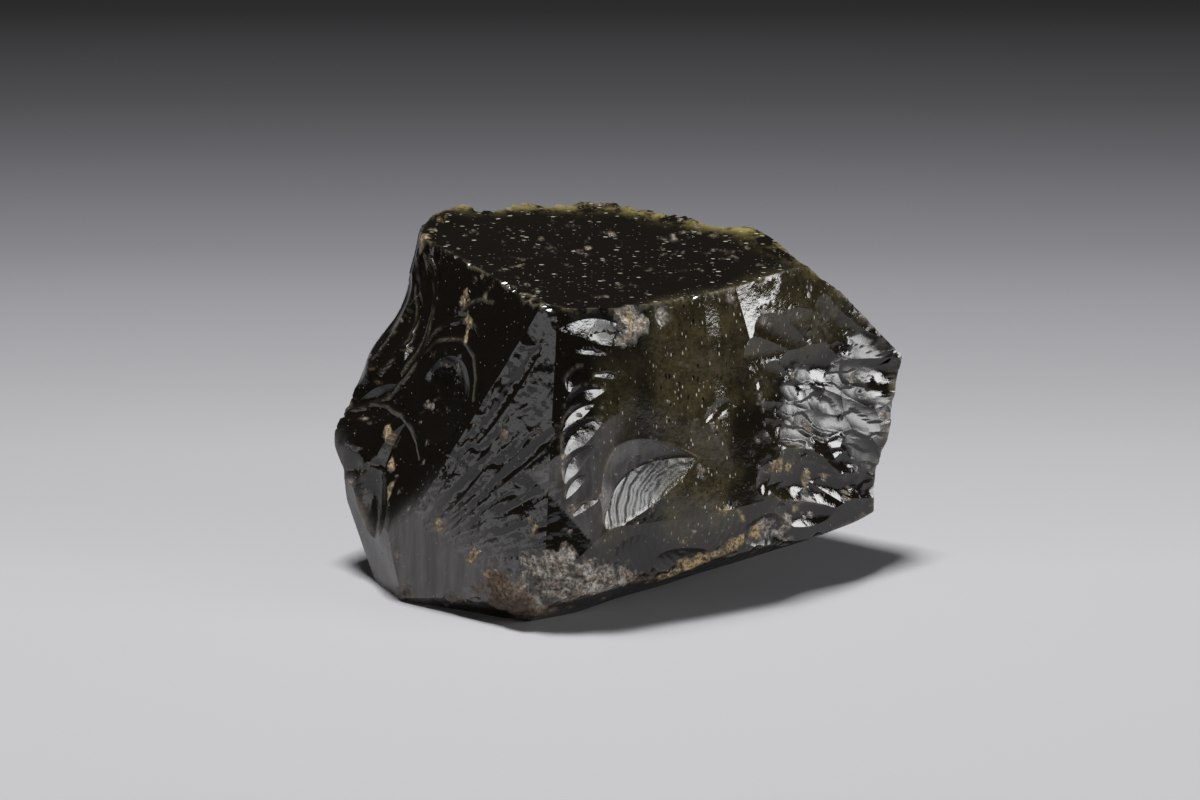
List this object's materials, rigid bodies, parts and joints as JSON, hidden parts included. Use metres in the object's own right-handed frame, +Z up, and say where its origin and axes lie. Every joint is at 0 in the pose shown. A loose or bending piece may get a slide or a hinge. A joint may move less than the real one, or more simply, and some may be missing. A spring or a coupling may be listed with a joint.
{
  "type": "obsidian chunk",
  "caption": "Faceted chunk of black volcanic glass with shell-shaped fracture scars, resting on its flat underside.",
  "frame": {"origin": "centre of the bounding box in plan, on the flat face it rests on", "axes": "+X along the stone's longest extent, towards its thin pointed end; -Y towards the broad front with the stepped rib; +Z up"},
  "size_m": [0.0716, 0.0404, 0.0437],
  "materials": {
    "obsidian": "glossy conchoidal fracture with dull weathered patches"
  },
  "bodies": {
    "root": {"obsidian_chunk": "obsidian"}
  },
  "joints": []
}
